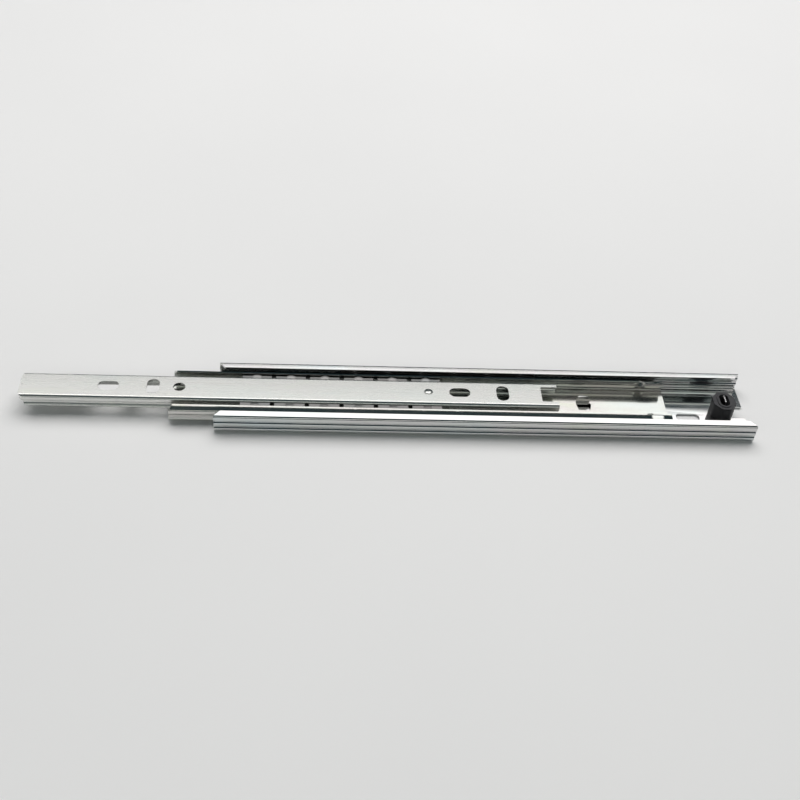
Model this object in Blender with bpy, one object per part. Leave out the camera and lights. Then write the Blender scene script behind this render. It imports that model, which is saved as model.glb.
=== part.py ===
"""Full-extension ball-bearing drawer slide, lying on its back with the drawer side up.

X runs along the slide and the drawer pulls out towards -X. Y runs across it and Z is up.
The origin is the middle of the cabinet member's back face.
The slide is drawn part way out: the middle member by MIDDLE_OUT and the drawer member
by DRAWER_OUT beyond it, both counted from the closed position.
"""
import math

import bmesh
import bpy
from mathutils import Matrix

MM = 0.001

# Whole slide
LENGTH = 300.0 * MM
WIDTH = 45.0 * MM
THICKNESS = 12.7 * MM
BALL_RADIUS = 2.6 * MM
BALL_PITCH = 19.0 * MM
BALLS_PER_SIDE = 6
RUNNING_GAP = 0.3 * MM
CABINET_FRONT = -LENGTH / 2
CABINET_REAR = LENGTH / 2

# Cabinet member: a channel open upwards, its lips turned in over the outer balls
CABINET_SHEET = 1.2 * MM
CABINET_HEIGHT = 12.1 * MM
CABINET_LIP_EDGE = 17.8 * MM
CABINET_LIP_TRIM = 3.4 * MM
CABINET_FOOT_BEND = 1.4 * MM
CABINET_LIP_BEND = 1.1 * MM
RIDGE_DEPTH = 0.55 * MM
RIDGE_SPACING = 3.6 * MM
RIDGE_REACH = 0.8 * MM
RIDGE_BEND = 0.65 * MM
OUTER_BALL_HEIGHT = 6.05 * MM
OUTER_BALL_SIDE = 18.45 * MM

# Middle member: a smaller channel that runs on the outer balls and carries the inner ones
MIDDLE_SHEET = 1.1 * MM
MIDDLE_LENGTH = 279.0 * MM
MIDDLE_UNDERSIDE = 2.5 * MM
MIDDLE_TOP = 12.0 * MM
MIDDLE_RACE = 15.2 * MM
MIDDLE_FOOT = 15.6 * MM
MIDDLE_FOOT_HEIGHT = 4.0 * MM
MIDDLE_RACE_LOW = 5.5 * MM
MIDDLE_RACE_HIGH = 9.6 * MM
MIDDLE_LIP = 13.4 * MM
MIDDLE_LIP_LOW = 11.3 * MM
MIDDLE_LIP_TRIM = 2.0 * MM
MIDDLE_TRIM_START = 9.4 * MM

# Drawer member: a channel open downwards, its feet turned out under the inner balls
DRAWER_SHEET = 1.2 * MM
DRAWER_LENGTH = 297.0 * MM
DRAWER_SIDE = 9.1 * MM
DRAWER_RACE = 8.45 * MM
DRAWER_FOOT = 9.0 * MM
DRAWER_SHOULDER = 9.6 * MM
DRAWER_RACE_REACH = 0.7 * MM
DRAWER_FOOT_HEIGHT = 6.2 * MM
DRAWER_BOTTOM = 5.3 * MM
DRAWER_END_TRIM = 3.8 * MM
INNER_BALL_HEIGHT = 8.0 * MM
INNER_BALL_SIDE = 11.85 * MM

# Ball cages
CAGE_SHEET = 0.5 * MM
CAGE_LENGTH = 111.0 * MM
POCKET_RADIUS = 2.85 * MM
OUTER_CAGE_FLOOR = 1.85 * MM
OUTER_CAGE_TOP = 10.2 * MM
INNER_CAGE_FLOOR = 4.35 * MM
INNER_CAGE_WALL = 12.2 * MM
INNER_CAGE_TOP = 10.95 * MM
INNER_CAGE_EDGE = 10.0 * MM
CAGE_HOLE_RADIUS = 1.2 * MM
CAGE_HOLE_SIDE = 11.2 * MM

# Rubber bumper on a tongue bent up from the cabinet member's rear end
BUMPER_X = CABINET_REAR - 13.4 * MM
BUMPER_LENGTH = 12.8 * MM
BUMPER_WIDTH = 14.6 * MM
BUMPER_TOP = 11.2 * MM
BUMPER_CORNER = 4.6 * MM
BUMPER_SLOT_LENGTH = 4.4 * MM
BUMPER_SLOT_WIDTH = 10.6 * MM
TONGUE_WIDTH = 7.6 * MM
TONGUE_SHEET = 1.0 * MM
TONGUE_TOP = 12.2 * MM
TONGUE_RELIEF = 0.9 * MM
TONGUE_ROOT = 4.0 * MM

# How far out the slide is drawn, and where everything then stands
MIDDLE_OUT = 25.8 * MM
DRAWER_OUT = 78.8 * MM
MIDDLE_TRAVEL = 152.0 * MM
DRAWER_TRAVEL = 148.0 * MM
NOTCH_DEPTH = 9.3 * MM
NOTCH_WIDTH = 11.8 * MM
NOTCH_CORNER = 0.8 * MM
CABINET_CAGE_STOP = 5.6 * MM
MIDDLE_CAGE_STOP = 3.9 * MM
MIDDLE_CLOSED_REAR = BUMPER_X - BUMPER_LENGTH / 2 - RUNNING_GAP
MIDDLE_FRONT = MIDDLE_CLOSED_REAR - MIDDLE_LENGTH - MIDDLE_OUT
MIDDLE_REAR = MIDDLE_FRONT + MIDDLE_LENGTH
NOTCH_CLOSED = BUMPER_X - TONGUE_SHEET / 2 - RUNNING_GAP
DRAWER_FRONT = NOTCH_CLOSED - (DRAWER_LENGTH - NOTCH_DEPTH) - MIDDLE_OUT - DRAWER_OUT
DRAWER_REAR = DRAWER_FRONT + DRAWER_LENGTH
OUTER_CAGE_FRONT = CABINET_FRONT + CABINET_CAGE_STOP + (MIDDLE_TRAVEL - MIDDLE_OUT) / 2
INNER_CAGE_FRONT = MIDDLE_FRONT + MIDDLE_CAGE_STOP + (DRAWER_TRAVEL - DRAWER_OUT) / 2

# Screw slots in the drawer member, from its front end; True lies along the slide
SLOT_LENGTH = 11.8 * MM
SLOT_WIDTH = 7.0 * MM
DRAWER_SLOTS = (
    (47.7 * MM, True),
    (71.9 * MM, False),
    (241.6 * MM, True),
    (265.8 * MM, False),
)
LEVER_HOLE_X = 86.3 * MM
LEVER_HOLE_RADIUS = 3.3 * MM
DIMPLE_X = 224.0 * MM
DIMPLE_RADIUS = 2.7 * MM
DIMPLE_DEPTH = 0.7 * MM
FRONT_NICK = 1.4 * MM

# Holes in the cabinet and middle members, from their front ends; True lies along the slide
CABINET_SLOTS = ((37.0 * MM, True), (69.0 * MM, False), (165.0 * MM, True), (229.0 * MM, False))
REAR_SLOT_X = 266.5 * MM
REAR_SLOT_Y = -4.7 * MM
REAR_SLOT_LENGTH = 13.5 * MM
REAR_SLOT_WIDTH = 6.0 * MM
REAR_SLOT_CORNER = 2.5 * MM
ACCESS_HOLE_RADIUS = 5.0 * MM
ACCESS_HOLES = (37.0 * MM, 69.0 * MM, 165.0 * MM)

# Stop tab lanced from the middle member's web, and the stops at its ends
STOP_TAB_X = 231.9 * MM
STOP_TAB_LENGTH = 8.0 * MM
STOP_TAB_Y = 5.2 * MM
STOP_TAB_SHEET = 0.9 * MM
STOP_TAB_TOP = 7.0 * MM
STOP_HOLE_Y = 2.9 * MM
STOP_HOLE_DEPTH = 5.4 * MM
STOP_TAB_TAPER = 1.0 * MM
STOP_TAB_ROOT = 2.0 * MM
LIP_STOP_X = 270.5 * MM
LIP_STOP_LENGTH = 10.0 * MM
LIP_STOP_EDGE = 11.6 * MM
LIP_STOP_BOTTOM = 10.9 * MM
LIP_STOP_TOP = 11.85 * MM
FLOOR_STOP_LENGTH = 2.4 * MM
FLOOR_STOP_WIDTH = 9.0 * MM

BEND_STEP = math.radians(24)
ROUND_SIDES = 20
SHORTEST_EDGE = 0.01 * MM
SMOOTH_ANGLE = math.radians(30)


def clear_scene():
    for item in list(bpy.data.objects):
        bpy.data.objects.remove(item, do_unlink=True)


def metal(name, colour, roughness, metallic=1.0):
    material = bpy.data.materials.new(name)
    material.use_nodes = True
    shader = material.node_tree.nodes["Principled BSDF"]
    shader.inputs["Base Color"].default_value = (*colour, 1.0)
    shader.inputs["Roughness"].default_value = roughness
    shader.inputs["Metallic"].default_value = metallic
    return material


def new_object(name, mesh_builder, material=None):
    """Make one object from a filled-in bmesh, its faces pointing out."""
    bmesh.ops.recalc_face_normals(mesh_builder, faces=mesh_builder.faces)
    mesh = bpy.data.meshes.new(name)
    mesh_builder.to_mesh(mesh)
    mesh_builder.free()
    item = bpy.data.objects.new(name, mesh)
    bpy.context.scene.collection.objects.link(item)
    if material:
        mesh.materials.append(material)
    mesh.shade_smooth()
    mesh.set_sharp_from_angle(angle=SMOOTH_ANGLE)
    return item


def boolean(target, tool, operation):
    """Cut or join with a helper shape, which stays out of the model."""
    tool.hide_render = True
    tool.display_type = "WIRE"
    step = target.modifiers.new(tool.name, "BOOLEAN")
    step.operation = operation
    step.solver = "EXACT"
    step.object = tool


def rounded_path(corners):
    """Turn corners (side, height, bend radius) into a path whose bends are arcs."""
    path = []
    last = len(corners) - 1
    for index, (side, height, radius) in enumerate(corners):
        if index in (0, last) or radius == 0:
            path.append((side, height))
            continue
        before = corners[index - 1]
        after = corners[index + 1]
        angle_in = math.atan2(height - before[1], side - before[0])
        angle_out = math.atan2(after[1] - height, after[0] - side)
        turn = (angle_out - angle_in + math.pi) % (2 * math.pi) - math.pi
        reach = radius * math.tan(abs(turn) / 2)
        start = (side - reach * math.cos(angle_in), height - reach * math.sin(angle_in))
        bend_side = math.copysign(1.0, turn)
        centre = (
            start[0] - bend_side * radius * math.sin(angle_in),
            start[1] + bend_side * radius * math.cos(angle_in),
        )
        steps = max(1, math.ceil(abs(turn) / BEND_STEP))
        for step in range(steps + 1):
            angle = angle_in + turn * step / steps
            path.append((
                centre[0] + bend_side * radius * math.sin(angle),
                centre[1] - bend_side * radius * math.cos(angle),
            ))
    return path


def offset_path(path, distance):
    """Shift a path sideways by a distance, mitred where it bends."""
    shifted = []
    last = len(path) - 1
    for index, (side, height) in enumerate(path):
        before = path[max(index - 1, 0)]
        here = path[index]
        after = path[min(index + 1, last)]
        angles = []
        if index > 0:
            angles.append(math.atan2(here[1] - before[1], here[0] - before[0]))
        if index < last:
            angles.append(math.atan2(after[1] - here[1], after[0] - here[0]))
        turn = (angles[-1] - angles[0] + math.pi) % (2 * math.pi) - math.pi
        middle = angles[0] + turn / 2
        reach = distance / math.cos(turn / 2)
        shifted.append((side - reach * math.sin(middle), height + reach * math.cos(middle)))
    return shifted


def mirrored(half):
    """Both halves of a section, from the -Y edge to the +Y edge, given its +Y half."""
    left = [(-side, height, radius) for side, height, radius in reversed(half)]
    return left + list(half)


def formed_sheet(name, corners, sheet, front, rear, material, along_y=False):
    """A bent sheet of constant thickness, extruded between two ends.

    front and rear give the end's place along the slide for a point of the section. The
    section lies across the slide, or along it where along_y is set.
    """
    path = rounded_path(corners)
    faces_of_sheet = (offset_path(path, sheet / 2), offset_path(path, -sheet / 2))
    builder = bmesh.new()
    columns = []
    for shifted in faces_of_sheet:
        for end in (front, rear):
            column = []
            for side, height in shifted:
                place = end(side, height)
                point = (side, place, height) if along_y else (place, side, height)
                column.append(builder.verts.new(point))
            columns.append(column)
    top_front, top_rear, low_front, low_rear = columns
    strips = (
        (top_front, top_rear), (top_rear, low_rear), (low_rear, low_front), (low_front, top_front),
    )
    for first, second in strips:
        for index in range(len(path) - 1):
            builder.faces.new((first[index], first[index + 1], second[index + 1], second[index]))
    for index in (0, len(path) - 1):
        builder.faces.new([column[index] for column in (top_front, top_rear, low_rear, low_front)])
    return new_object(name, builder, material)


def straight(place):
    return lambda side, height: place


def add_prism(builder, outline, bottom, top):
    """Add a closed upright prism over an outline of (x, y) points."""
    rings = [[builder.verts.new((x, y, z)) for x, y in outline] for z in (bottom, top)]
    count = len(outline)
    for index in range(count):
        after = (index + 1) % count
        builder.faces.new((rings[0][index], rings[0][after], rings[1][after], rings[1][index]))
    builder.faces.new(rings[0])
    builder.faces.new(rings[1])


def rounded_rectangle(x, y, length, width, corner):
    """Outline of a rectangle with round corners; a corner of half the width makes a slot."""
    outline = []
    steps = ROUND_SIDES // 4
    for quarter in range(4):
        angle = quarter * math.pi / 2
        side_x = math.copysign(1, math.cos(angle + math.pi / 4))
        side_y = math.copysign(1, math.sin(angle + math.pi / 4))
        for step in range(steps + 1):
            turn = angle + math.pi / 2 * step / steps
            point = (
                x + side_x * (length / 2 - corner) + corner * math.cos(turn),
                y + side_y * (width / 2 - corner) + corner * math.sin(turn),
            )
            if not outline or math.dist(point, outline[-1]) > SHORTEST_EDGE:
                outline.append(point)
    if math.dist(outline[0], outline[-1]) < SHORTEST_EDGE:
        outline.pop()
    return outline


def slot_outline(x, y, lengthwise):
    size = (SLOT_LENGTH, SLOT_WIDTH) if lengthwise else (SLOT_WIDTH, SLOT_LENGTH)
    return rounded_rectangle(x, y, *size, SLOT_WIDTH / 2)


def circle_outline(x, y, radius):
    return rounded_rectangle(x, y, 2 * radius, 2 * radius, radius)


def punch(target, name, outlines, bottom, top):
    """Punch upright holes through a target."""
    builder = bmesh.new()
    for outline in outlines:
        add_prism(builder, outline, bottom, top)
    boolean(target, new_object(name, builder), "DIFFERENCE")


def block(name, x_range, y_range, z_range):
    builder = bmesh.new()
    outline = [(x_range[i], y_range[j]) for i, j in ((0, 0), (1, 0), (1, 1), (0, 1))]
    add_prism(builder, outline, *z_range)
    return new_object(name, builder)


def make_cabinet_member(material):
    wall = WIDTH / 2 - CABINET_SHEET / 2
    floor = CABINET_SHEET / 2
    lip = CABINET_HEIGHT - CABINET_SHEET / 2
    half = [(wall, floor, CABINET_FOOT_BEND)]
    for height in (OUTER_BALL_HEIGHT - RIDGE_SPACING / 2, OUTER_BALL_HEIGHT + RIDGE_SPACING / 2):
        half.append((wall, height - RIDGE_REACH, RIDGE_BEND))
        half.append((wall - RIDGE_DEPTH, height, RIDGE_BEND))
        half.append((wall, height + RIDGE_REACH, RIDGE_BEND))
    half.append((wall, lip, CABINET_LIP_BEND))
    half.append((CABINET_LIP_EDGE, lip, 0))

    def lip_trim(side, height):
        if height < lip - CABINET_SHEET:
            return 0.0
        return CABINET_LIP_TRIM * max(0.0, wall - abs(side)) / (wall - CABINET_LIP_EDGE)

    member = formed_sheet(
        "cabinet_member", mirrored(half), CABINET_SHEET,
        lambda side, height: CABINET_FRONT + lip_trim(side, height),
        lambda side, height: CABINET_REAR - lip_trim(side, height), material,
    )
    outlines = [slot_outline(CABINET_FRONT + x, 0.0, lengthwise) for x, lengthwise in CABINET_SLOTS]
    outlines.append(rounded_rectangle(
        CABINET_FRONT + REAR_SLOT_X, REAR_SLOT_Y, REAR_SLOT_LENGTH, REAR_SLOT_WIDTH,
        REAR_SLOT_CORNER,
    ))
    relief = CABINET_REAR - BUMPER_X - TONGUE_SHEET / 2 + TONGUE_RELIEF
    outlines.append(rounded_rectangle(
        CABINET_REAR, 0.0, 2 * relief, TONGUE_WIDTH + 2 * TONGUE_RELIEF, TONGUE_RELIEF / 2,
    ))
    punch(member, "cabinet_member_holes", outlines, -CABINET_SHEET, 2 * CABINET_SHEET)
    add_bumper_tongue(member)
    stop_face = CABINET_FRONT + CABINET_CAGE_STOP - RUNNING_GAP
    add_cage_stop(member, stop_face, floor, OUTER_CAGE_FLOOR + CAGE_SHEET / 2)


def add_cage_stop(member, face, bottom, top):
    """A low step on a member's web, where its ball cage stops at full extension."""
    stop = block(
        f"{member.name}_cage_stop", (face - FLOOR_STOP_LENGTH, face),
        (-FLOOR_STOP_WIDTH / 2, FLOOR_STOP_WIDTH / 2), (bottom, top),
    )
    boolean(member, stop, "UNION")


def add_bumper_tongue(member):
    """The tongue of the web that is bent up to hold the bumper."""
    corners = [
        (BUMPER_X - TONGUE_ROOT, CABINET_SHEET / 2, 0),
        (BUMPER_X, CABINET_SHEET / 2, 0.9 * MM),
        (BUMPER_X, TONGUE_TOP, 0),
    ]
    tongue = formed_sheet(
        "bumper_tongue", corners, TONGUE_SHEET,
        straight(-TONGUE_WIDTH / 2), straight(TONGUE_WIDTH / 2), None, along_y=True,
    )
    boolean(member, tongue, "UNION")


def make_middle_member(material):
    floor = MIDDLE_UNDERSIDE + MIDDLE_SHEET / 2
    half = [
        (MIDDLE_FOOT, floor, 0.75 * MM),
        (MIDDLE_FOOT, MIDDLE_FOOT_HEIGHT, 0.3 * MM),
        (MIDDLE_RACE, MIDDLE_RACE_LOW, 1.0 * MM),
        (MIDDLE_RACE, MIDDLE_RACE_HIGH, 1.2 * MM),
        (MIDDLE_LIP, MIDDLE_LIP_LOW, 0.7 * MM),
        (MIDDLE_LIP, MIDDLE_TOP, 0),
    ]

    def lip_trim(side, height):
        rise = max(0.0, height - MIDDLE_TRIM_START) / (MIDDLE_TOP - MIDDLE_TRIM_START)
        return MIDDLE_LIP_TRIM * rise

    member = formed_sheet(
        "middle_member", mirrored(half), MIDDLE_SHEET,
        lambda side, height: MIDDLE_FRONT + lip_trim(side, height),
        lambda side, height: MIDDLE_REAR - lip_trim(side, height), material,
    )
    tab_x = MIDDLE_FRONT + STOP_TAB_X
    outlines = [circle_outline(MIDDLE_FRONT + x, 0.0, ACCESS_HOLE_RADIUS) for x in ACCESS_HOLES]
    half_tab = STOP_TAB_LENGTH / 2 + RUNNING_GAP
    hole_end = STOP_HOLE_Y - STOP_HOLE_DEPTH
    outlines.append([
        (tab_x - half_tab + STOP_TAB_TAPER, hole_end),
        (tab_x + half_tab - STOP_TAB_TAPER, hole_end),
        (tab_x + half_tab, STOP_HOLE_Y),
        (tab_x - half_tab, STOP_HOLE_Y),
    ])
    low = MIDDLE_UNDERSIDE - MIDDLE_SHEET
    punch(member, "middle_member_holes", outlines, low, low + 3 * MIDDLE_SHEET)
    add_stop_tab(member, tab_x, floor)
    stop_face = MIDDLE_FRONT + MIDDLE_CAGE_STOP - RUNNING_GAP
    add_cage_stop(member, stop_face, floor, INNER_CAGE_FLOOR + CAGE_SHEET / 2)
    for side in (-1, 1):
        add_lip_stop(member, side)


def add_stop_tab(member, tab_x, floor):
    """The tab lanced up from the web, which stops the inner ball cage at the rear."""
    corners = [
        (STOP_TAB_Y - STOP_TAB_ROOT, floor, 0),
        (STOP_TAB_Y, floor, 0.8 * MM),
        (STOP_TAB_Y, STOP_TAB_TOP, 0),
    ]
    tab = formed_sheet(
        "middle_stop_tab", corners, STOP_TAB_SHEET,
        straight(tab_x - STOP_TAB_LENGTH / 2), straight(tab_x + STOP_TAB_LENGTH / 2), None,
    )
    boolean(member, tab, "UNION")


def add_lip_stop(member, side):
    """A stretch of lip pressed in near the rear end, which keeps the drawer member in."""
    centre = MIDDLE_FRONT + LIP_STOP_X
    edges = sorted((side * LIP_STOP_EDGE, side * MIDDLE_LIP))
    stop = block(
        f"middle_lip_stop_{'right' if side > 0 else 'left'}",
        (centre - LIP_STOP_LENGTH / 2, centre + LIP_STOP_LENGTH / 2), edges,
        (LIP_STOP_BOTTOM, LIP_STOP_TOP),
    )
    boolean(member, stop, "UNION")


def make_drawer_member(material):
    web = THICKNESS - DRAWER_SHEET / 2
    half = [
        (DRAWER_SIDE, web, 1.1 * MM),
        (DRAWER_SIDE, DRAWER_SHOULDER, 0.8 * MM),
        (DRAWER_RACE, INNER_BALL_HEIGHT + DRAWER_RACE_REACH, 1.0 * MM),
        (DRAWER_RACE, INNER_BALL_HEIGHT - DRAWER_RACE_REACH, 1.0 * MM),
        (DRAWER_FOOT, DRAWER_FOOT_HEIGHT, 0.6 * MM),
        (DRAWER_FOOT, DRAWER_BOTTOM, 0),
    ]

    def front_end(side, height):
        drop = max(0.0, web - height) / (web - DRAWER_BOTTOM)
        return DRAWER_FRONT + DRAWER_END_TRIM * drop

    member = formed_sheet(
        "drawer_member", mirrored(half), DRAWER_SHEET, front_end, straight(DRAWER_REAR), material,
    )
    outlines = [
        slot_outline(DRAWER_FRONT + x, 0.0, lengthwise) for x, lengthwise in DRAWER_SLOTS
    ]
    outlines.append(circle_outline(DRAWER_FRONT + LEVER_HOLE_X, 0.0, LEVER_HOLE_RADIUS))
    outlines.append(rounded_rectangle(
        DRAWER_REAR, 0.0, 2 * NOTCH_DEPTH, NOTCH_WIDTH, NOTCH_CORNER,
    ))
    outlines.append([
        (DRAWER_FRONT - FRONT_NICK, -FRONT_NICK),
        (DRAWER_FRONT + FRONT_NICK, 0.0),
        (DRAWER_FRONT - FRONT_NICK, FRONT_NICK),
    ])
    punch(member, "drawer_member_holes", outlines, web - DRAWER_SHEET, web + DRAWER_SHEET)
    add_dimple(member)


def add_dimple(member):
    """A round dimple pressed a little way into the web."""
    builder = bmesh.new()
    bmesh.ops.create_cone(
        builder, cap_ends=True, segments=ROUND_SIDES,
        radius1=DIMPLE_RADIUS - DIMPLE_DEPTH, radius2=DIMPLE_RADIUS + DIMPLE_DEPTH,
        depth=2 * DIMPLE_DEPTH,
    )
    bmesh.ops.translate(
        builder, verts=builder.verts, vec=(DRAWER_FRONT + DIMPLE_X, 0.0, THICKNESS),
    )
    boolean(member, new_object("drawer_dimple", builder), "DIFFERENCE")


def ball_places(front):
    """The balls' places along a cage, counted from its front end."""
    first = front + (CAGE_LENGTH - BALL_PITCH * (BALLS_PER_SIDE - 1)) / 2
    return [first + BALL_PITCH * index for index in range(BALLS_PER_SIDE)]


def make_outer_cage(material):
    half = [
        (OUTER_BALL_SIDE, OUTER_CAGE_FLOOR, 0.7 * MM),
        (OUTER_BALL_SIDE, OUTER_CAGE_TOP, 0),
    ]
    across = Matrix.Rotation(math.pi / 2, 3, "X")
    front = OUTER_CAGE_FRONT
    cage = formed_sheet(
        "outer_ball_cage", mirrored(half), CAGE_SHEET,
        straight(front), straight(front + CAGE_LENGTH), material,
    )
    for side in (-1, 1):
        pockets = bmesh.new()
        for x in ball_places(front):
            drill = bmesh.ops.create_cone(
                pockets, cap_ends=True, segments=ROUND_SIDES,
                radius1=POCKET_RADIUS, radius2=POCKET_RADIUS, depth=4 * CAGE_SHEET,
            )
            bmesh.ops.rotate(pockets, verts=drill["verts"], matrix=across)
            bmesh.ops.translate(
                pockets, verts=drill["verts"], vec=(x, side * OUTER_BALL_SIDE, OUTER_BALL_HEIGHT),
            )
        name = f"outer_cage_pockets_{'right' if side > 0 else 'left'}"
        boolean(cage, new_object(name, pockets), "DIFFERENCE")


def make_inner_cage(material):
    half = [
        (INNER_CAGE_WALL, INNER_CAGE_FLOOR, 0.7 * MM),
        (INNER_CAGE_WALL, INNER_CAGE_TOP, 0.5 * MM),
        (INNER_CAGE_EDGE, INNER_CAGE_TOP, 0),
    ]
    front = INNER_CAGE_FRONT
    cage = formed_sheet(
        "inner_ball_cage", mirrored(half), CAGE_SHEET,
        straight(front), straight(front + CAGE_LENGTH), material,
    )
    places = ball_places(front)
    for side in (-1, 1):
        outlines = [circle_outline(x, side * INNER_BALL_SIDE, POCKET_RADIUS) for x in places]
        for x in places[:-1]:
            outlines.append(circle_outline(
                x + BALL_PITCH / 2, side * CAGE_HOLE_SIDE, CAGE_HOLE_RADIUS,
            ))
        name = f"inner_cage_pockets_{'right' if side > 0 else 'left'}"
        pocket_bottom = INNER_BALL_HEIGHT - POCKET_RADIUS
        punch(cage, name, outlines, pocket_bottom, THICKNESS)


def make_balls(row, front, side_reach, height, material):
    """Both rows of balls of one cage, all sharing one mesh."""
    builder = bmesh.new()
    bmesh.ops.create_uvsphere(builder, u_segments=12, v_segments=8, radius=BALL_RADIUS)
    first = new_object(f"{row}_ball_left_1", builder, material)
    for side, side_name in ((-1, "left"), (1, "right")):
        for number, x in enumerate(ball_places(front), start=1):
            name = f"{row}_ball_{side_name}_{number}"
            ball = first
            if name != first.name:
                ball = bpy.data.objects.new(name, first.data)
                bpy.context.scene.collection.objects.link(ball)
            ball.location = (x, side * side_reach, height)


def make_bumper(material):
    """The rubber sleeve that is pushed down over the tongue."""
    builder = bmesh.new()
    outline = rounded_rectangle(BUMPER_X, 0.0, BUMPER_LENGTH, BUMPER_WIDTH, BUMPER_CORNER)
    add_prism(builder, outline, CABINET_SHEET + RUNNING_GAP, BUMPER_TOP)
    bumper = new_object("rear_bumper", builder, material)
    slot = rounded_rectangle(
        BUMPER_X, 0.0, BUMPER_SLOT_LENGTH, BUMPER_SLOT_WIDTH, BUMPER_SLOT_LENGTH / 2.5,
    )
    punch(bumper, "bumper_slot", [slot], 0.0, 2 * BUMPER_TOP)


def main():
    clear_scene()
    zinc = (0.80, 0.81, 0.80)
    make_cabinet_member(metal("cabinet_zinc", zinc, 0.28))
    make_middle_member(metal("middle_zinc", zinc, 0.26))
    make_drawer_member(metal("drawer_zinc", (0.82, 0.83, 0.81), 0.34))
    cage_steel = metal("cage_steel", (0.62, 0.63, 0.62), 0.35)
    ball_steel = metal("ball_steel", (0.72, 0.72, 0.73), 0.12)
    make_outer_cage(cage_steel)
    make_inner_cage(cage_steel)
    make_balls("outer", OUTER_CAGE_FRONT, OUTER_BALL_SIDE, OUTER_BALL_HEIGHT, ball_steel)
    make_balls("inner", INNER_CAGE_FRONT, INNER_BALL_SIDE, INNER_BALL_HEIGHT, ball_steel)
    make_bumper(metal("bumper_rubber", (0.025, 0.025, 0.028), 0.75, 0.0))


main()
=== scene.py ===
"""The looks of the drawer slide: rolled zinc-plated members, steel balls in cages, a rubber bumper."""
import math

import bmesh
import bpy
from mathutils import Matrix, Vector


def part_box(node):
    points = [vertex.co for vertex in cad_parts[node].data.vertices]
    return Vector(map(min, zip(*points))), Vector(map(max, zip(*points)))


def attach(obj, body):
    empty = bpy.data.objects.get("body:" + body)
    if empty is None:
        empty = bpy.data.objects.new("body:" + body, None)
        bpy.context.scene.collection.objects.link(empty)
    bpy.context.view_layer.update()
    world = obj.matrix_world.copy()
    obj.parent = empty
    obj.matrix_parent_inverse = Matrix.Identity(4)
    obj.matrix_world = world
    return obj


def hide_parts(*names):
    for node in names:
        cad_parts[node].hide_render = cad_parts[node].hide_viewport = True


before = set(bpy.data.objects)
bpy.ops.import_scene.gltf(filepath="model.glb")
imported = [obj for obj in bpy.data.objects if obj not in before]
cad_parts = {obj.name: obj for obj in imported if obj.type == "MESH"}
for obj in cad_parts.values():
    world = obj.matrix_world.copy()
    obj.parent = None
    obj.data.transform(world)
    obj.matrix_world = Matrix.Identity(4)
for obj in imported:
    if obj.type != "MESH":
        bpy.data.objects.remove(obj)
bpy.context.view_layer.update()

MM = 0.001

# Where the CAD puts everything
CABINET_LOW, CABINET_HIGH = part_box("cabinet_member")
MIDDLE_LOW, MIDDLE_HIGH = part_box("middle_member")
DRAWER_LOW, DRAWER_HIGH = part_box("drawer_member")
OUTER_CAGE_LOW, OUTER_CAGE_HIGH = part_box("outer_ball_cage")
INNER_CAGE_LOW, INNER_CAGE_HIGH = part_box("inner_ball_cage")
BUMPER_LOW, BUMPER_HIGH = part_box("rear_bumper")
BUMPER_X = (BUMPER_LOW.x + BUMPER_HIGH.x) / 2

# Cabinet member's section
CABINET_SHEET = 1.2 * MM
CABINET_FOOT_BEND = 1.5 * MM
CABINET_LIP_BEND = 1.1 * MM
CABINET_LIP_TOP = MIDDLE_HIGH.z + 0.1 * MM
CABINET_LIP_EDGE = 17.8 * MM
CABINET_LIP_TRIM = 3.4 * MM
NEAR_LIP_LEAN = math.tan(math.radians(2.5))
FAR_LIP_LEAN = math.tan(math.radians(1.2))
WEB_CROWN = 0.35 * MM
WEB_CROWN_RADIUS = 200.0 * MM
RIDGE_DEPTH = 0.55 * MM
RIDGE_SPACING = 3.8 * MM
RIDGE_REACH = 1.15 * MM
RIDGE_DROP = 0.1 * MM
RIDGE_FOOT_BEND = 1.0 * MM
RIDGE_TOP_BEND = 0.8 * MM

# Middle member's section
MIDDLE_SHEET = 1.1 * MM
MIDDLE_ROLL = math.radians(1.2)
MIDDLE_FOOT_TOP = 4.2 * MM
MIDDLE_RACE = 15.2 * MM
MIDDLE_RACE_LOW = 5.2 * MM
MIDDLE_RACE_HIGH = 6.9 * MM
MIDDLE_GROOVE = 7.8 * MM
MIDDLE_GROOVE_DEPTH = 0.35 * MM
MIDDLE_SHOULDER = 9.5 * MM
MIDDLE_SHOULDER_DEPTH = 0.25 * MM
MIDDLE_LIP = 13.4 * MM
MIDDLE_LIP_LOW = 11.3 * MM
MIDDLE_LIP_TRIM = 2.0 * MM
MIDDLE_TRIM_START = 9.4 * MM
MIDDLE_TRIM_RUN = 8.0 * MM
REAR_TRIM_SHARE = 0.4
FAR_EDGE_SLOPE = math.tan(math.radians(11))

# Drawer member's section
DRAWER_SHEET = 1.2 * MM
DRAWER_SHOULDER_RUN = 1.0 * MM
DRAWER_SHOULDER_DROP = 0.67 * MM
DRAWER_WALL_FOOT = 9.6 * MM
DRAWER_RACE = 8.05 * MM
DRAWER_RACE_LOW = 6.95 * MM
DRAWER_RACE_HIGH = 8.8 * MM
DRAWER_FOOT_TOP = 6.0 * MM
DRAWER_FOOT_LEAN = 0.3 * MM
DRAWER_END_TRIM = 3.8 * MM
DRAWER_CORNER = 3.6 * MM
DRAWER_NICK = 1.7 * MM

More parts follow.
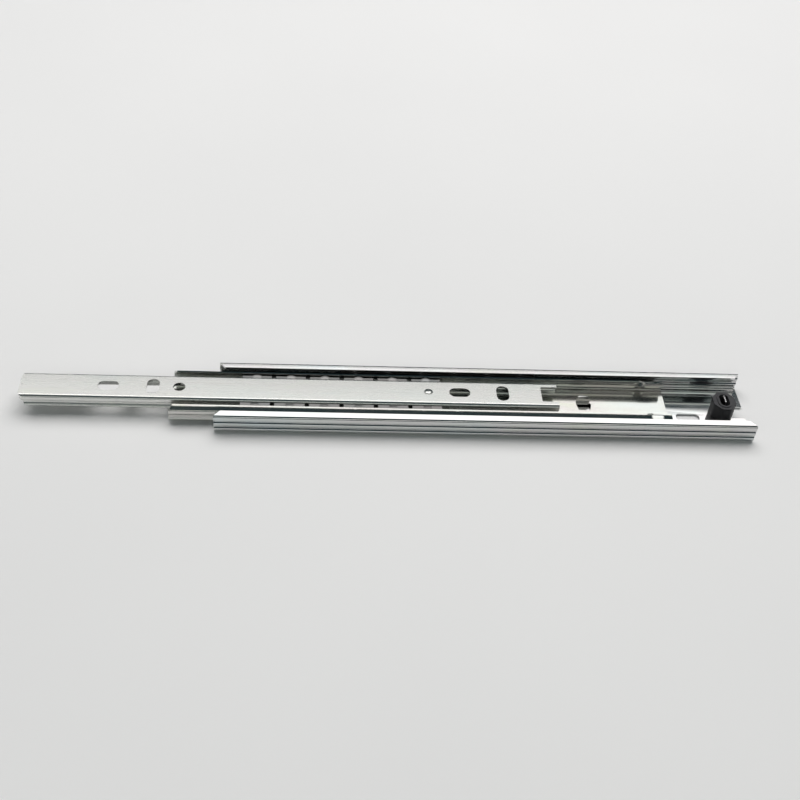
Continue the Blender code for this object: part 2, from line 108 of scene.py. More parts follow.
# Cages and their balls
CAGE_SHEET = 0.5 * MM
CAGE_BEND = 0.7 * MM
CAGE_LIP_BEND = 0.5 * MM
CAGE_EDGE = 0.06 * MM
INNER_CAGE_GAP = 0.3 * MM
BALL_PITCH = 19.0 * MM
BALLS_PER_SIDE = 6
POCKET_RADIUS = 2.85 * MM
CROWN_RADIUS = 2.5 * MM
CROWN_RISE = 0.5 * MM
CROWN_SINK = 0.06 * MM
CROWN_ROOT = 0.25 * MM
CROWN_INNER_GAP = 0.05 * MM
CROWN_OUTER_GAP = 0.1 * MM
CAGE_HOLE_RADIUS = 1.35 * MM
CAGE_HOLE_INSET = 1.0 * MM

# Holes along the members, from their front ends; True lies along the slide
SLOT_LENGTH = 11.8 * MM
SLOT_WIDTH = 7.0 * MM
DRAWER_SLOTS = (
    (47.7 * MM, True),
    (71.9 * MM, False),
    (241.6 * MM, True),
    (265.8 * MM, False),
)
LEVER_HOLE = 86.3 * MM
LEVER_HOLE_RADIUS = 3.3 * MM
DIMPLE = 224.0 * MM
DIMPLE_RADIUS = 2.5 * MM
DIMPLE_SHEET = 1.0 * MM
DIMPLE_BALL = 1.3
DIMPLE_BULGE = 1.25
DIMPLE_BULGE_TOP = 0.2 * MM
CABINET_SLOTS = ((37.0 * MM, True), (69.0 * MM, False), (165.0 * MM, True), (229.0 * MM, False))
ACCESS_HOLES = (37.0 * MM, 69.0 * MM, 165.0 * MM)
ACCESS_HOLE_RADIUS = 5.0 * MM
REAR_SLOT = 266.5 * MM
REAR_SLOT_Y = -4.7 * MM
REAR_SLOT_LENGTH = 13.5 * MM
REAR_SLOT_WIDTH = 6.0 * MM
REAR_SLOT_CORNER = 2.5 * MM
NOTCH_DEPTH = 9.3 * MM
NOTCH_WIDTH = 11.8 * MM
NOTCH_CORNER = 0.8 * MM
TONGUE_WIDTH = 7.6 * MM
TONGUE_SHEET = 1.0 * MM
TONGUE_RELIEF = 0.9 * MM
TONGUE_ROOT = 4.0 * MM
TONGUE_BEND = 0.9 * MM

# Shares of its width and thickness that the tongue keeps at its top
TONGUE_TOP_WIDTH = 0.72
TONGUE_TOP_SHEET = 0.6

# The lanced stop tab and its hole
STOP_TAB = 231.9 * MM
STOP_TAB_Y = 5.2 * MM
STOP_TAB_TOP = 6.9 * MM
STOP_TAB_HALF = 3.9 * MM
STOP_TAB_ROUND = 1.8 * MM
STOP_TAB_SHEET = 0.9 * MM
STOP_TAB_BEND = 1.0 * MM
STOP_TAB_ROOT = 0.4 * MM
STOP_HOLE_Y = 2.9 * MM
STOP_HOLE_DEPTH = 5.4 * MM
STOP_HOLE_HALF = 4.3 * MM
STOP_HOLE_TAPER = 1.0 * MM
STOP_HOLE_CORNER = 0.4 * MM

# The middle member's lips, crushed near the rear end, with a dent in the wall ahead of that
LIP_STOP = 270.5 * MM
LIP_STOP_RUN = 12.0 * MM
CRUSH_START = 10.3 * MM
CRUSH_HALF = 2.2 * MM
CRUSH_RAMP = 4.4 * MM
CRUSH_INWARD = 0.65
CRUSH_DOWN = 0.5
DENT_AHEAD = 4.5 * MM
DENT_HALF = 0.6 * MM
DENT_RAMP = 2.4 * MM
DENT_HEIGHT = 7.2 * MM
DENT_HEIGHT_HALF = 0.3 * MM
DENT_HEIGHT_RAMP = 2.2 * MM
DENT_DEPTH = 0.9 * MM

# The steps that stop the cages
CABINET_CAGE_STOP = 5.3 * MM
MIDDLE_CAGE_STOP = 3.6 * MM
CAGE_STOP_LENGTH = 2.4 * MM
CAGE_STOP_WIDTH = 9.0 * MM
CAGE_STOP_CORNER = 0.6 * MM

# Bumper; the share is of its length and width, and the sizes are length, width and corner radius
BUMPER_CUT_SHARE = 0.30
BUMPER_BEND = 1.1 * MM
BUMPER_RIM_HEIGHT = 0.5 * MM
BUMPER_RIM_SIZE = (8.0 * MM, 11.6 * MM, 3.9 * MM)
BUMPER_BORE_SIZE = (5.2 * MM, 9.2 * MM, 2.5 * MM)
BUMPER_EDGE = 0.35 * MM

# Light
WARM_WHITE = (1.0, 0.977, 0.962)
ROOM_CREAM = (0.995, 1.0, 0.93)
DIM_TEAL = (0.019, 0.038, 0.045, 1.0)
LIGHT_DISTANCE = 2.0

# How finely shapes are drawn, and how near counts as the same
BEND_STEP = math.radians(9)
ROUND_SIDES = 48
SHARP_ANGLE = math.radians(32)
EDGE_BREAK = 0.13 * MM
DRAWER_EDGE_BREAK = 0.22 * MM
SAME_POINT = 0.01 * MM
WELD = 0.004 * MM
AT_TOP = 0.05 * MM


def rounded_path(corners):
    """Turn corners (side, height, bend radius) into a path whose bends are arcs."""
    path = []
    last = len(corners) - 1
    for index, (side, height, radius) in enumerate(corners):
        if index in (0, last) or radius == 0:
            path.append((side, height))
            continue
        before = corners[index - 1]
        after = corners[index + 1]
        angle_in = math.atan2(height - before[1], side - before[0])
        angle_out = math.atan2(after[1] - height, after[0] - side)
        turn = (angle_out - angle_in + math.pi) % (2 * math.pi) - math.pi
        reach = radius * math.tan(abs(turn) / 2)
        start = (side - reach * math.cos(angle_in), height - reach * math.sin(angle_in))
        hand = math.copysign(1.0, turn)
        centre = (
            start[0] - hand * radius * math.sin(angle_in),
            start[1] + hand * radius * math.cos(angle_in),
        )
        steps = max(1, math.ceil(abs(turn) / BEND_STEP))
        for step in range(steps + 1):
            angle = angle_in + turn * step / steps
            path.append((
                centre[0] + hand * radius * math.sin(angle),
                centre[1] - hand * radius * math.cos(angle),
            ))
    return path


def offset_path(path, distance):
    """Shift a path sideways by a distance, mitred where it bends."""
    shifted = []
    last = len(path) - 1
    for index, (side, height) in enumerate(path):
        before = path[max(index - 1, 0)]
        after = path[min(index + 1, last)]
        angles = []
        if index > 0:
            angles.append(math.atan2(height - before[1], side - before[0]))
        if index < last:
            angles.append(math.atan2(after[1] - height, after[0] - side))
        turn = (angles[-1] - angles[0] + math.pi) % (2 * math.pi) - math.pi
        middle = angles[0] + turn / 2
        reach = distance / math.cos(turn / 2)
        shifted.append((side - reach * math.sin(middle), height + reach * math.cos(middle)))
    return shifted


def mirrored(half):
    """Both halves of a section, from the -Y edge to the +Y edge, given its +Y half."""
    left = [(-side, height, radius) for side, height, radius in reversed(half)]
    return left + list(half)


def object_from(name, builder):
    """Make an object of a filled-in bmesh, its faces pointing out."""
    bmesh.ops.recalc_face_normals(builder, faces=builder.faces)
    mesh = bpy.data.meshes.new(name)
    builder.to_mesh(mesh)
    builder.free()
    item = bpy.data.objects.new(name, mesh)
    bpy.context.scene.collection.objects.link(item)
    return item


def rolled_strip(name, corners, sheet, stations, shape, along_y=False):
    """A bent strip of constant thickness, drawn through the given stations.

    shape takes a station and a point of the section, and returns where that point lies
    along the strip, across it and up. The strip runs along X, or along Y with along_y.
    """
    path = rounded_path(corners)
    skins = (offset_path(path, sheet / 2), offset_path(path, -sheet / 2))
    builder = bmesh.new()
    grids = []
    for skin in skins:
        grid = []
        for station in stations:
            row = []
            for side, height in skin:
                x, y, z = shape(station, side, height)
                row.append(builder.verts.new((y, x, z) if along_y else (x, y, z)))
            grid.append(row)
        grids.append(grid)
    upper, lower = grids
    for grid in grids:
        for first, second in zip(grid, grid[1:]):
            for index in range(len(path) - 1):
                builder.faces.new((first[index], first[index + 1], second[index + 1], second[index]))
    for end in (0, -1):
        for index in range(len(path) - 1):
            builder.faces.new((
                upper[end][index], upper[end][index + 1], lower[end][index + 1], lower[end][index],
            ))
    for station in range(len(stations) - 1):
        for edge in (0, -1):
            builder.faces.new((
                upper[station][edge], upper[station + 1][edge],
                lower[station + 1][edge], lower[station][edge],
            ))
    return object_from(name, builder)


def add_prism(builder, outline, bottom, top):
    """Add a closed upright prism over an outline of (x, y) points."""
    rings = [[builder.verts.new((x, y, z)) for x, y in outline] for z in (bottom, top)]
    count = len(outline)
    for index in range(count):
        after = (index + 1) % count
        builder.faces.new((rings[0][index], rings[0][after], rings[1][after], rings[1][index]))
    builder.faces.new(rings[0])
    builder.faces.new(rings[1])


def rounded_rectangle(x, y, length, width, corner):
    """Outline of a rectangle with round corners; a corner of half the width makes a slot."""
    outline = []
    steps = ROUND_SIDES // 4
    for quarter in range(4):
        angle = quarter * math.pi / 2
        side_x = math.copysign(1, math.cos(angle + math.pi / 4))
        side_y = math.copysign(1, math.sin(angle + math.pi / 4))
        for step in range(steps + 1):
            turn = angle + math.pi / 2 * step / steps
            point = (
                x + side_x * (length / 2 - corner) + corner * math.cos(turn),
                y + side_y * (width / 2 - corner) + corner * math.sin(turn),
            )
            if not outline or math.dist(point, outline[-1]) > SAME_POINT:
                outline.append(point)
    if math.dist(outline[0], outline[-1]) < SAME_POINT:
        outline.pop()
    return outline


def slot_outline(x, y, lengthwise):
    """Outline of a screw slot, along the slide or across it."""
    size = (SLOT_LENGTH, SLOT_WIDTH) if lengthwise else (SLOT_WIDTH, SLOT_LENGTH)
    return rounded_rectangle(x, y, *size, SLOT_WIDTH / 2)


def circle_outline(x, y, radius):
    """Outline of a round hole."""
    return rounded_rectangle(x, y, 2 * radius, 2 * radius, radius)


def combine(target, tool, operation):
    """Cut or join with a tool shape, apply it and throw the tool away."""
    step = target.modifiers.new(operation, "BOOLEAN")
    step.operation = operation
    step.solver = "EXACT"
    step.object = tool
    apply_modifiers(target)
    bpy.data.objects.remove(tool, do_unlink=True)


def apply_modifiers(item):
    """Turn an object's modifiers into its own mesh."""
    graph = bpy.context.evaluated_depsgraph_get()
    mesh = bpy.data.meshes.new_from_object(item.evaluated_get(graph))
    item.modifiers.clear()
    old = item.data
    item.data = mesh
    mesh.name = item.name
    bpy.data.meshes.remove(old)


def punch(target, outlines, bottom, top):
    """Punch upright holes through a target."""
    builder = bmesh.new()
    for outline in outlines:
        add_prism(builder, outline, bottom, top)
    combine(target, object_from("punch", builder), "DIFFERENCE")


def add_cage_stop(member, face, bottom, top):
    """Raise the low step on a web that its ball cage meets when the slide is fully open."""
    builder = bmesh.new()
    add_prism(builder, rounded_rectangle(
        face - CAGE_STOP_LENGTH / 2, 0.0, CAGE_STOP_LENGTH, CAGE_STOP_WIDTH, CAGE_STOP_CORNER,
    ), bottom, top)
    combine(member, object_from("cage_stop", builder), "UNION")


def finish_piece(item, material, edge=EDGE_BREAK):
    """Break the sharp edges a little, shade the bends smooth and give the piece its material."""
    builder = bmesh.new()
    builder.from_mesh(item.data)
    bmesh.ops.remove_doubles(builder, verts=builder.verts, dist=WELD)
    bmesh.ops.dissolve_degenerate(builder, edges=builder.edges, dist=WELD)
    sharp = [
        line for line in builder.edges
        if len(line.link_faces) == 2 and line.calc_face_angle(0.0) > SHARP_ANGLE
    ]
    bmesh.ops.bevel(
        builder, geom=sharp, offset=edge, segments=2, profile=0.6, affect="EDGES",
        clamp_overlap=True,
    )
    builder.to_mesh(item.data)
    builder.free()
    item.data.materials.clear()
    item.data.materials.append(material)
    item.data.shade_smooth()
    item.data.set_sharp_from_angle(angle=SHARP_ANGLE)
    weighted = item.modifiers.new("weighted_normals", "WEIGHTED_NORMAL")
    weighted.keep_sharp = True
    weighted.weight = 80


def bump_shape(x, centre, half_length, ramp):
    """1 over a stretch of the slide and 0 away from it, with a smooth ramp at each end."""
    beyond = max(0.0, abs(x - centre) - half_length) / ramp
    return 0.5 + 0.5 * math.cos(math.pi * min(1.0, beyond))


def spread(start, end, count):
    """Values from start to end, in a number of equal steps."""
    return [start + (end - start) * index / count for index in range(count + 1)]


# ---------------------------------------------------------------- materials


class Shader:
    """A node material with short calls for the nodes used here."""

    def __init__(self, name):
        self.material = bpy.data.materials.new(name)
        self.material.use_nodes = True
        self.tree = self.material.node_tree
        self.surface = self.tree.nodes["Principled BSDF"]
        self.place = self.tree.nodes.new("ShaderNodeTexCoord").outputs["Object"]

    def set(self, **values):
        """Set inputs of the surface; an underscore in a name stands for a space."""
        for name, value in values.items():
            self.surface.inputs[name.replace("_", " ")].default_value = value

    def link(self, output, name):
        """Drive an input of the surface by an output of another node."""
        self.tree.links.new(output, self.surface.inputs[name])

    def noise(self, scale, detail=3.0, roughness=0.55, shift=0.0):
        """Noise whose grains per metre along X, Y and Z are given by scale."""
        mapping = self.tree.nodes.new("ShaderNodeMapping")
        mapping.inputs["Scale"].default_value = scale
        mapping.inputs["Location"].default_value = (shift, shift * 0.7, shift * 0.3)
        self.tree.links.new(self.place, mapping.inputs["Vector"])
        noise = self.tree.nodes.new("ShaderNodeTexNoise")
        noise.inputs["Scale"].default_value = 1.0
        noise.inputs["Detail"].default_value = detail
        noise.inputs["Roughness"].default_value = roughness
        self.tree.links.new(mapping.outputs["Vector"], noise.inputs["Vector"])
        return noise.outputs["Fac"]

    def ramp(self, factor, stops):
        """Colours by a factor, from stops of (position, colour)."""
        node = self.tree.nodes.new("ShaderNodeValToRGB")
        elements = node.color_ramp.elements
        while len(elements) < len(stops):
            elements.new(0.5)
        for element, (position, colour) in zip(elements, stops):
            element.position = position
            element.color = (*colour, 1.0)
        self.tree.links.new(factor, node.inputs["Fac"])
        return node.outputs["Color"]

    def levels(self, factor, low, high, out_low, out_high):
        """Stretch the range low..high of a factor to out_low..out_high."""
        node = self.tree.nodes.new("ShaderNodeMapRange")
        node.inputs["From Min"].default_value = low
        node.inputs["From Max"].default_value = high
        node.inputs["To Min"].default_value = out_low
        node.inputs["To Max"].default_value = out_high
        self.tree.links.new(factor, node.inputs["Value"])
        return node.outputs["Result"]

    def math(self, operation, first, second):
        """A sum, product or the like of two values or outputs."""
        node = self.tree.nodes.new("ShaderNodeMath")
        node.operation = operation
        for value, socket in zip((first, second), node.inputs):
            if isinstance(value, (int, float)):
                socket.default_value = value
            else:
                self.tree.links.new(value, socket)
        return node.outputs["Value"]

    def multiply_colours(self, first, second, amount=1.0):
        """Darken one colour by another."""
        node = self.tree.nodes.new("ShaderNodeMix")
        node.data_type = "RGBA"
        node.blend_type = "MULTIPLY"
        node.inputs["Factor"].default_value = amount
        colours = [socket for socket in node.inputs if socket.type == "RGBA"]
        self.tree.links.new(first, colours[0])
        self.tree.links.new(second, colours[1])
        return [socket for socket in node.outputs if socket.type == "RGBA"][0]

    def bump(self, height, strength, distance):
        """Roughen the surface by a height pattern."""
        node = self.tree.nodes.new("ShaderNodeBump")
        node.inputs["Strength"].default_value = strength
        node.inputs["Distance"].default_value = distance
        self.tree.links.new(height, node.inputs["Height"])
        self.link(node.outputs["Normal"], "Normal")


def zinc_plate(name, colour, roughness, shift, stain=1.0):
    """Bright zinc on cold-rolled strip: fine rolling lines, cloudy passivation tints, scuffs."""
    shader = Shader(name)
    shader.set(Metallic=1.0)
    cloud = shader.noise((22.0, 60.0, 60.0), detail=3.0, shift=shift)
    lines = shader.noise((4.0, 1500.0, 1500.0), detail=2.0, shift=shift + 3.0)
    grain = shader.noise((2600.0, 2600.0, 2600.0), detail=1.0, shift=shift)
    scuffs = shader.noise((60.0, 900.0, 900.0), detail=2.0, roughness=0.7, shift=shift + 7.0)
    red, green, blue = colour
    tint = shader.ramp(cloud, (
        (0.30, (red * (1 - 0.05 * stain), green * (1 - 0.01 * stain), blue * (1 + 0.03 * stain))),
        (0.45, (red, green, blue)),
        (0.58, (red * (1 + 0.03 * stain), green * (1 - 0.025 * stain), blue)),
        (0.72, (red * (1 + 0.01 * stain), green * (1 + 0.01 * stain), blue * (1 - 0.06 * stain))),
    ))
    wear = shader.ramp(scuffs, ((0.30, (0.90, 0.90, 0.90)), (0.42, (1.0, 1.0, 1.0))))
    shader.link(shader.multiply_colours(tint, wear, 0.7), "Base Color")
    satin = shader.levels(lines, 0.3, 0.7, roughness * 0.9, roughness * 1.1)
    patches = shader.levels(cloud, 0.35, 0.65, -0.02, 0.02)
    shader.link(shader.math("ADD", satin, patches), "Roughness")
    height = shader.math("ADD", lines, shader.math("MULTIPLY", grain, 0.35))
    shader.bump(height, 0.035, 0.02 * MM)
    return shader.material


def ball_steel():
    """Polished bearing steel, faintly smudged."""
    shader = Shader("ball_steel_polished")
    shader.set(Metallic=1.0)
    smudge = shader.noise((500.0, 500.0, 500.0), detail=3.0)
    shader.link(shader.ramp(smudge, (
        (0.35, (0.70, 0.70, 0.72)), (0.65, (0.80, 0.80, 0.81)),
    )), "Base Color")
    shader.link(shader.levels(smudge, 0.3, 0.7, 0.05, 0.14), "Roughness")
    return shader.material


def bumper_rubber():
    """Black moulded rubber with a little dust on it."""
    shader = Shader("bumper_rubber_moulded")
    skin = shader.noise((1800.0, 1800.0, 1800.0), detail=3.0)
    dust = shader.noise((260.0, 260.0, 260.0), detail=4.0, shift=5.0)
    shader.link(shader.ramp(dust, (
        (0.35, (0.018, 0.018, 0.021)), (0.75, (0.050, 0.050, 0.054)),
    )), "Base Color")
    shader.link(shader.levels(dust, 0.3, 0.7, 0.48, 0.68), "Roughness")
    shader.bump(skin, 0.25, 0.05 * MM)
    return shader.material


def pale_paper():
    """The matt pale floor."""
    shader = Shader("pale_floor")
    fibre = shader.noise((900.0, 900.0, 900.0), detail=2.0)
    patch = shader.noise((3.0, 3.0, 3.0), detail=2.0)
    shader.link(shader.ramp(patch, (
        (0.3, (0.800, 0.800, 0.802)), (0.7, (0.825, 0.825, 0.826)),
    )), "Base Color")
    shader.set(Roughness=0.85)
    shader.bump(fibre, 0.05, 0.05 * MM)
    return shader.material


# ---------------------------------------------------------------- cabinet member


def cabinet_member(material):
    """The widest channel: crowned web, two ridges in each wall, lips turned in, bumper tongue."""
    wall = CABINET_HIGH.y - CABINET_SHEET / 2
    floor = CABINET_LOW.z + CABINET_SHEET / 2
    lip = CABINET_LIP_TOP - CABINET_SHEET / 2
    race = (CABINET_LOW.z + CABINET_LIP_TOP) / 2 - RIDGE_DROP
    # Corners of the +Y half: side, height and bend radius
    half = [(wall, floor, CABINET_FOOT_BEND)]
    for height in (race - RIDGE_SPACING / 2, race + RIDGE_SPACING / 2):
        half.append((wall, height - RIDGE_REACH, RIDGE_FOOT_BEND))
        half.append((wall - RIDGE_DEPTH, height, RIDGE_TOP_BEND))
        half.append((wall, height + RIDGE_REACH, RIDGE_FOOT_BEND))
    half.append((wall, lip, CABINET_LIP_BEND))
    half.append((CABINET_LIP_EDGE, lip, 0))
    corners = mirrored(half)
    corners.insert(len(half), (0.0, floor + WEB_CROWN, WEB_CROWN_RADIUS))

    def shape(station, side, height):
        """Lean the lips towards -Y and cut their ends back at a slant."""
        trim = 0.0
        if height > lip - CABINET_SHEET:
            inward = max(0.0, wall - abs(side))
            trim = CABINET_LIP_TRIM * inward / (wall - CABINET_LIP_EDGE)
            height += NEAR_LIP_LEAN * inward if side < 0 else -FAR_LIP_LEAN * inward
        if station < 0:
            return CABINET_LOW.x + trim, side, height
        if station > 0:
            return CABINET_HIGH.x - trim, side, height
        return 0.0, side, height

    member = rolled_strip(
        "cabinet_member_rolled", corners, CABINET_SHEET, (-1, 0, 1), shape,
    )
    tongue_corners = [
        (BUMPER_X - TONGUE_ROOT, floor, 0),
        (BUMPER_X, floor, TONGUE_BEND),
        (BUMPER_X, CABINET_HIGH.z, 0),
    ]
    outlines = [slot_outline(CABINET_LOW.x + x, 0.0, along) for x, along in CABINET_SLOTS]
    outlines.append(rounded_rectangle(
        CABINET_LOW.x + REAR_SLOT, REAR_SLOT_Y, REAR_SLOT_LENGTH, REAR_SLOT_WIDTH, REAR_SLOT_CORNER,
    ))
    relief = CABINET_HIGH.x - BUMPER_X - TONGUE_SHEET / 2 + TONGUE_RELIEF
    outlines.append(rounded_rectangle(
        CABINET_HIGH.x, 0.0, 2 * relief, TONGUE_WIDTH + 2 * TONGUE_RELIEF, TONGUE_RELIEF / 2,
    ))
    punch(member, outlines, -CABINET_SHEET, 2 * CABINET_SHEET)
    tongue = rolled_strip(
        "tongue", tongue_corners, TONGUE_SHEET, (-TONGUE_WIDTH / 2, TONGUE_WIDTH / 2),
        lambda station, side, height: (station, side, height), along_y=True,
    )
    for vertex in tongue.data.vertices:
        if vertex.co.z > CABINET_HIGH.z - AT_TOP:
            vertex.co.y *= TONGUE_TOP_WIDTH
            vertex.co.x = BUMPER_X + (vertex.co.x - BUMPER_X) * TONGUE_TOP_SHEET
    combine(member, tongue, "UNION")
    add_cage_stop(
        member, CABINET_LOW.x + CABINET_CAGE_STOP, floor, OUTER_CAGE_LOW.z + CAGE_SHEET,
    )
    finish_piece(member, material)
    return member


# ---------------------------------------------------------------- middle member


def middle_member(material):
    """The channel between the two ball races, with its stop tab and crushed lips."""
    floor = MIDDLE_LOW.z + MIDDLE_SHEET / 2
    foot = MIDDLE_HIGH.y - MIDDLE_SHEET / 2
    # Corners of the +Y half: side, height and bend radius
    half = [
        (foot, floor, 0.75 * MM),
        (foot, MIDDLE_FOOT_TOP, 0.5 * MM),
        (MIDDLE_RACE, MIDDLE_RACE_LOW, 1.0 * MM),
        (MIDDLE_RACE, MIDDLE_RACE_HIGH, 1.0 * MM),
        (MIDDLE_RACE + MIDDLE_GROOVE_DEPTH, MIDDLE_GROOVE, 0.8 * MM),
        (MIDDLE_RACE + MIDDLE_SHOULDER_DEPTH, MIDDLE_SHOULDER, 1.0 * MM),
        (MIDDLE_LIP, MIDDLE_LIP_LOW, 0.7 * MM),
        (MIDDLE_LIP, MIDDLE_HIGH.z, 0),
    ]
    stop = MIDDLE_LOW.x + LIP_STOP

    def shape(station, side, height):
        """Cut the lips' ends back, crush the lips, dent the walls and roll the whole section."""
        rise = max(0.0, height - MIDDLE_TRIM_START) / (MIDDLE_HIGH.z - MIDDLE_TRIM_START)
        near_front = max(0.0, 1 - (station - MIDDLE_LOW.x) / MIDDLE_TRIM_RUN)
        near_rear = max(0.0, 1 - (MIDDLE_HIGH.x - station) / MIDDLE_TRIM_RUN)
        x = station + MIDDLE_LIP_TRIM * rise * (near_front - REAR_TRIM_SHARE * near_rear)
        crush = bump_shape(x, stop, CRUSH_HALF, CRUSH_RAMP)
        lift = max(0.0, height - CRUSH_START)
        dent = bump_shape(x, stop - DENT_AHEAD, DENT_HALF, DENT_RAMP)
        dent *= bump_shape(height, DENT_HEIGHT, DENT_HEIGHT_HALF, DENT_HEIGHT_RAMP)
        if side > 0 and height > MIDDLE_HIGH.z - AT_TOP:
            height -= FAR_EDGE_SLOPE * (side - MIDDLE_LIP + MIDDLE_SHEET / 2)
        side -= math.copysign(CRUSH_INWARD * lift * crush + DENT_DEPTH * dent, side)
        return x, side, height - CRUSH_DOWN * lift * crush + MIDDLE_ROLL * side

    stations = [MIDDLE_LOW.x, MIDDLE_LOW.x + MIDDLE_TRIM_RUN]
    stations += spread(stop - LIP_STOP_RUN, MIDDLE_HIGH.x, 30)
    member = rolled_strip("middle_member_rolled", mirrored(half), MIDDLE_SHEET, stations, shape)
    outlines = [circle_outline(MIDDLE_LOW.x + x, 0.0, ACCESS_HOLE_RADIUS) for x in ACCESS_HOLES]
    outlines.append(stop_hole_outline(MIDDLE_LOW.x + STOP_TAB))
    low = MIDDLE_LOW.z - MIDDLE_SHEET
    punch(member, outlines, low, low + 3 * MIDDLE_SHEET)
    combine(member, stop_tab(MIDDLE_LOW.x + STOP_TAB, floor), "UNION")
    add_cage_stop(
        member, MIDDLE_LOW.x + MIDDLE_CAGE_STOP, floor, INNER_CAGE_LOW.z + CAGE_SHEET,
    )
    finish_piece(member, material)
    return member


def stop_hole_outline(x):
    """The hole that the stop tab leaves: a trapezoid with two corners taken off."""
    far = STOP_HOLE_Y
    near = STOP_HOLE_Y - STOP_HOLE_DEPTH
    right = [
        (x + STOP_HOLE_HALF - STOP_HOLE_TAPER, near),
        (x + STOP_HOLE_HALF, far - STOP_HOLE_TAPER),
        (x + STOP_HOLE_HALF - STOP_HOLE_CORNER, far),
    ]
    return right + [(2 * x - corner_x, y) for corner_x, y in reversed(right)]


def stop_tab(x, floor):
    """The tab bent up from the web, with rounded top corners."""
    heights = [STOP_TAB_TOP - share * STOP_TAB_ROUND for share in (1, 0.6, 0.25, 0)]
    corners = [(STOP_HOLE_Y + STOP_TAB_ROOT, floor, 0), (STOP_TAB_Y, floor, STOP_TAB_BEND)]
    corners += [(STOP_TAB_Y, height, 0) for height in heights]

    def shape(station, side, height):
        """Draw the tab's ends in towards its top, along a quarter circle."""
        rise = max(0.0, height - STOP_TAB_TOP + STOP_TAB_ROUND) / STOP_TAB_ROUND
        inward = STOP_TAB_ROUND * (1 - math.sqrt(max(0.0, 1 - rise ** 2)))
        return x + math.copysign(abs(station) - inward, station), side, height

    return rolled_strip(
        "stop_tab", corners, STOP_TAB_SHEET, (-STOP_TAB_HALF, STOP_TAB_HALF), shape,
    )


# ---------------------------------------------------------------- drawer member


def drawer_member(material):
    """The narrow channel on top, with its screw slots, lever hole, notch and dimple."""
    web = DRAWER_HIGH.z - DRAWER_SHEET / 2
    side_wall = DRAWER_HIGH.y - DRAWER_SHEET / 2
    # Corners of the +Y half: side, height and bend radius
    half = [
        (side_wall - DRAWER_SHOULDER_RUN, web, 0.9 * MM),
        (side_wall, web - DRAWER_SHOULDER_DROP, 0.8 * MM),
        (side_wall, DRAWER_WALL_FOOT, 0.6 * MM),
        (DRAWER_RACE, DRAWER_RACE_HIGH, 0.7 * MM),
        (DRAWER_RACE, DRAWER_RACE_LOW, 0.6 * MM),
        (side_wall, DRAWER_FOOT_TOP, 0.35 * MM),
        (side_wall - DRAWER_FOOT_LEAN, DRAWER_LOW.z, 0),
    ]

    def shape(station, side, height):
        """Slant the front end back from the web to the feet."""
        if station > 0:
            return DRAWER_HIGH.x, side, height
        if station == 0:
            return (DRAWER_LOW.x + DRAWER_HIGH.x) / 2, side, height
        drop = max(0.0, web - height) / (web - DRAWER_LOW.z)
        return DRAWER_LOW.x + DRAWER_END_TRIM * drop, side, height

    member = rolled_strip(
        "drawer_member_rolled", mirrored(half), DRAWER_SHEET, (-1, 0, 1), shape,
    )
    outlines = [slot_outline(DRAWER_LOW.x + x, 0.0, along) for x, along in DRAWER_SLOTS]
    outlines.append(circle_outline(DRAWER_LOW.x + LEVER_HOLE, 0.0, LEVER_HOLE_RADIUS))
    outlines.append(rounded_rectangle(
        DRAWER_HIGH.x, 0.0, 2 * NOTCH_DEPTH, NOTCH_WIDTH, NOTCH_CORNER,
    ))
    outlines.append([
        (DRAWER_LOW.x - DRAWER_NICK, -DRAWER_NICK),
        (DRAWER_LOW.x + DRAWER_NICK, 0.0),
        (DRAWER_LOW.x - DRAWER_NICK, DRAWER_NICK),
    ])
    punch(member, outlines, web - DRAWER_SHEET, web + DRAWER_SHEET)
    corners = [outside_of_corner(side) for side in (-1, 1)]
    punch(member, corners, DRAWER_LOW.z - DRAWER_SHEET, web + DRAWER_SHEET)
    press_dimple(member)
    finish_piece(member, material, DRAWER_EDGE_BREAK)
    return member


def outside_of_corner(side):
    """Outline of what is cut away outside one of the rounded front corners."""
    margin = 1 * MM
    front = DRAWER_LOW.x - margin
    tip_y = side * (DRAWER_HIGH.y + margin)
    arc_y = side * (DRAWER_HIGH.y - DRAWER_CORNER)
    arc = []
    for angle in spread(0, math.pi / 2, 8):
        arc.append((
            DRAWER_LOW.x + DRAWER_CORNER * (1 - math.cos(angle)),
            arc_y + side * DRAWER_CORNER * math.sin(angle),
        ))
    return [(front, arc_y)] + arc + [(arc[-1][0], tip_y), (front, tip_y)]


def press_dimple(member):
    """A round dimple pressed into the web: a ball is added as its bulge, and one cuts its hollow."""
    for operation, growth, drop in (("UNION", DIMPLE_BULGE, DIMPLE_SHEET), ("DIFFERENCE", 1.0, 0.0)):
        builder = bmesh.new()
        ball = DIMPLE_RADIUS * DIMPLE_BALL * growth
        bmesh.ops.create_uvsphere(builder, u_segments=32, v_segments=20, radius=ball)
        sink = math.sqrt(ball ** 2 - (DIMPLE_RADIUS * growth) ** 2)
        bmesh.ops.translate(
            builder, verts=builder.verts,
            vec=(DRAWER_LOW.x + DIMPLE, 0.0, DRAWER_HIGH.z + sink - drop),
        )
        if operation == "UNION":
            top = DRAWER_HIGH.z - DIMPLE_BULGE_TOP
            geometry = builder.verts[:] + builder.edges[:] + builder.faces[:]
            cut = bmesh.ops.bisect_plane(
                builder, geom=geometry, plane_co=(0, 0, top), plane_no=(0, 0, 1), clear_outer=True,
            )
            rim = [part for part in cut["geom_cut"] if isinstance(part, bmesh.types.BMEdge)]
            bmesh.ops.edgeloop_fill(builder, edges=rim)
        combine(member, object_from("dimple", builder), operation)


# ---------------------------------------------------------------- balls and cages


def cad_ball(name):
    """Centre and radius of a ball of the CAD."""
    low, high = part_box(name)
    return (low + high) / 2, (high.z - low.z) / 2


